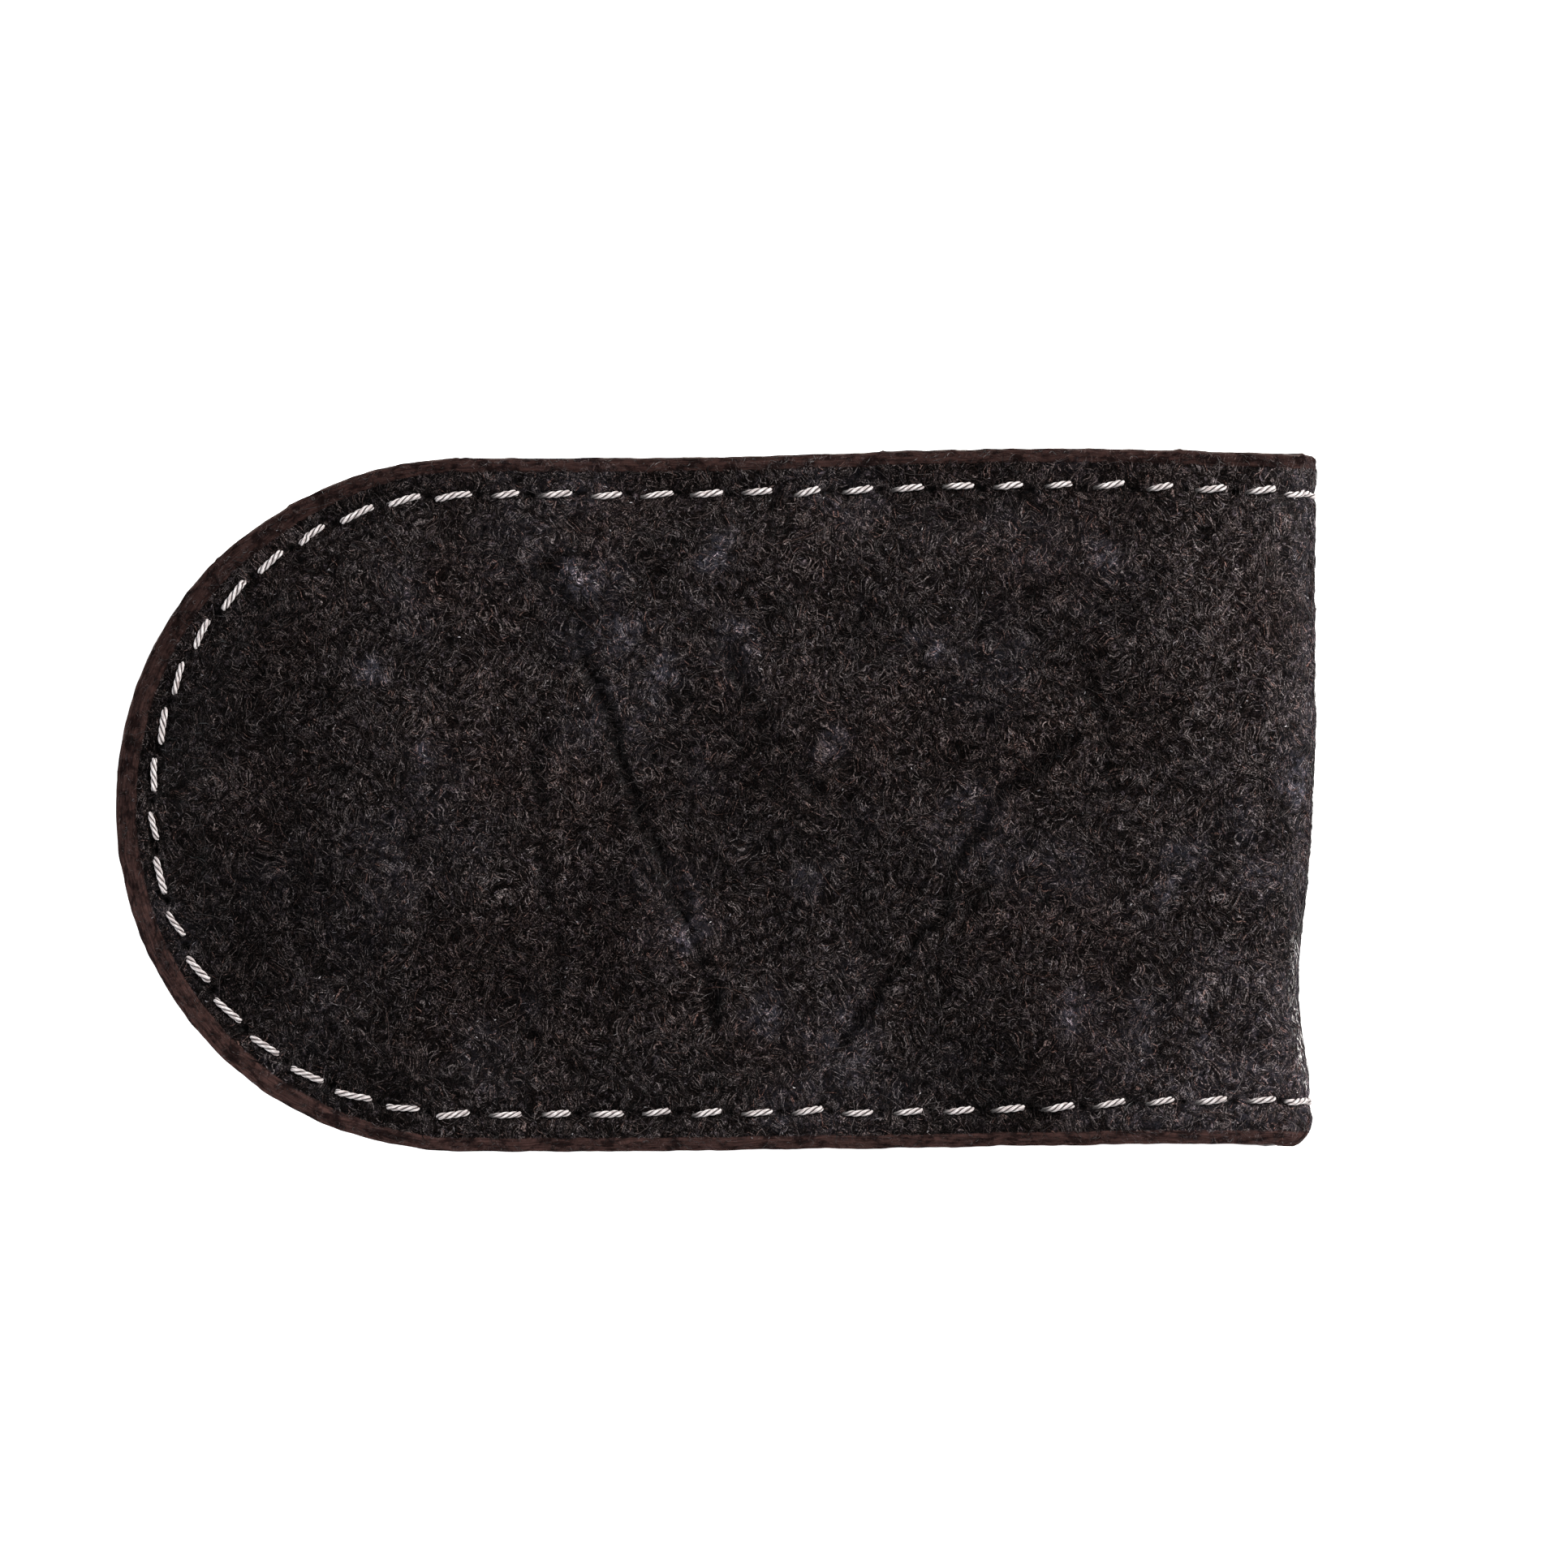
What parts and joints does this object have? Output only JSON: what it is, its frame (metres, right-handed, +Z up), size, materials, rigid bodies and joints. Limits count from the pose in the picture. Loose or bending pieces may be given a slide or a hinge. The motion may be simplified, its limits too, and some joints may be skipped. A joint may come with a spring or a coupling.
{
  "type": "magnetic leather money clip",
  "caption": "Folded leather money clip with round-ended leaves, contrast stitching round the edge and hidden disc magnets that hold the leaves shut.",
  "frame": {"origin": "on the surface the closed clip lies on, under the middle of its length and width", "axes": "+X towards the fold, -X towards the rounded tips, +Y across the leaves, +Z up out of the front leaf"},
  "size_m": [0.07, 0.0406, 0.0066],
  "materials": {
    "outer_leather": "matte, napped, near-black brown",
    "lining_leather": "smooth black, fine grain, satin",
    "stiffener_board": "bonded leather fibre board, matte",
    "magnet_plating": "bright nickel plating on sintered magnet",
    "thread": "twisted, undyed cream, slightly waxed"
  },
  "bodies": {
    "back_leaf": {"outer_leather_back": "outer_leather", "lining_back": "lining_leather", "stiffener_back": "stiffener_board", "magnet_back_1": "magnet_plating", "magnet_back_2": "magnet_plating", "outer_thread_back": "thread", "lining_thread_back": "thread"},
    "fold_1": {"outer_leather_fold_1": "outer_leather", "lining_fold_1": "lining_leather", "outer_thread_fold_1": "thread", "lining_thread_fold_1": "thread"},
    "fold_2": {"outer_leather_fold_2": "outer_leather", "lining_fold_2": "lining_leather", "outer_thread_fold_2": "thread", "lining_thread_fold_2": "thread"},
    "fold_3": {"outer_leather_fold_3": "outer_leather", "lining_fold_3": "lining_leather", "outer_thread_fold_3": "thread", "lining_thread_fold_3": "thread"},
    "front_leaf": {"outer_leather_front": "outer_leather", "lining_front": "lining_leather", "stiffener_front": "stiffener_board", "magnet_front_1": "magnet_plating", "magnet_front_2": "magnet_plating", "outer_thread_front": "thread", "lining_thread_front": "thread"}
  },
  "joints": [
    {"name": "fold_hinge_1", "type": "hinge", "parent": "back_leaf", "child": "fold_1", "pos_m": [0.03296, 0, 0.00025], "axis": [0, 1, 0], "range_deg": [0, 45], "stiffness_Nm_per_rad": 0.003},
    {"name": "fold_hinge_2", "type": "hinge", "parent": "fold_1", "child": "fold_2", "pos_m": [0.03475, 0, 0.00204], "axis": [0, 1, 0], "range_deg": [0, 45], "stiffness_Nm_per_rad": 0.003},
    {"name": "fold_hinge_3", "type": "hinge", "parent": "fold_2", "child": "fold_3", "pos_m": [0.03475, 0, 0.00456], "axis": [0, 1, 0], "range_deg": [0, 45], "stiffness_Nm_per_rad": 0.003},
    {"name": "fold_hinge_4", "type": "hinge", "parent": "fold_3", "child": "front_leaf", "pos_m": [0.03296, 0, 0.00635], "axis": [0, 1, 0], "range_deg": [0, 45], "stiffness_Nm_per_rad": 0.003}
  ],
  "couplings": [
    {"joint": "fold_hinge_2", "follows": "fold_hinge_1", "ratio": 1},
    {"joint": "fold_hinge_3", "follows": "fold_hinge_1", "ratio": 1},
    {"joint": "fold_hinge_4", "follows": "fold_hinge_1", "ratio": 1}
  ]
}
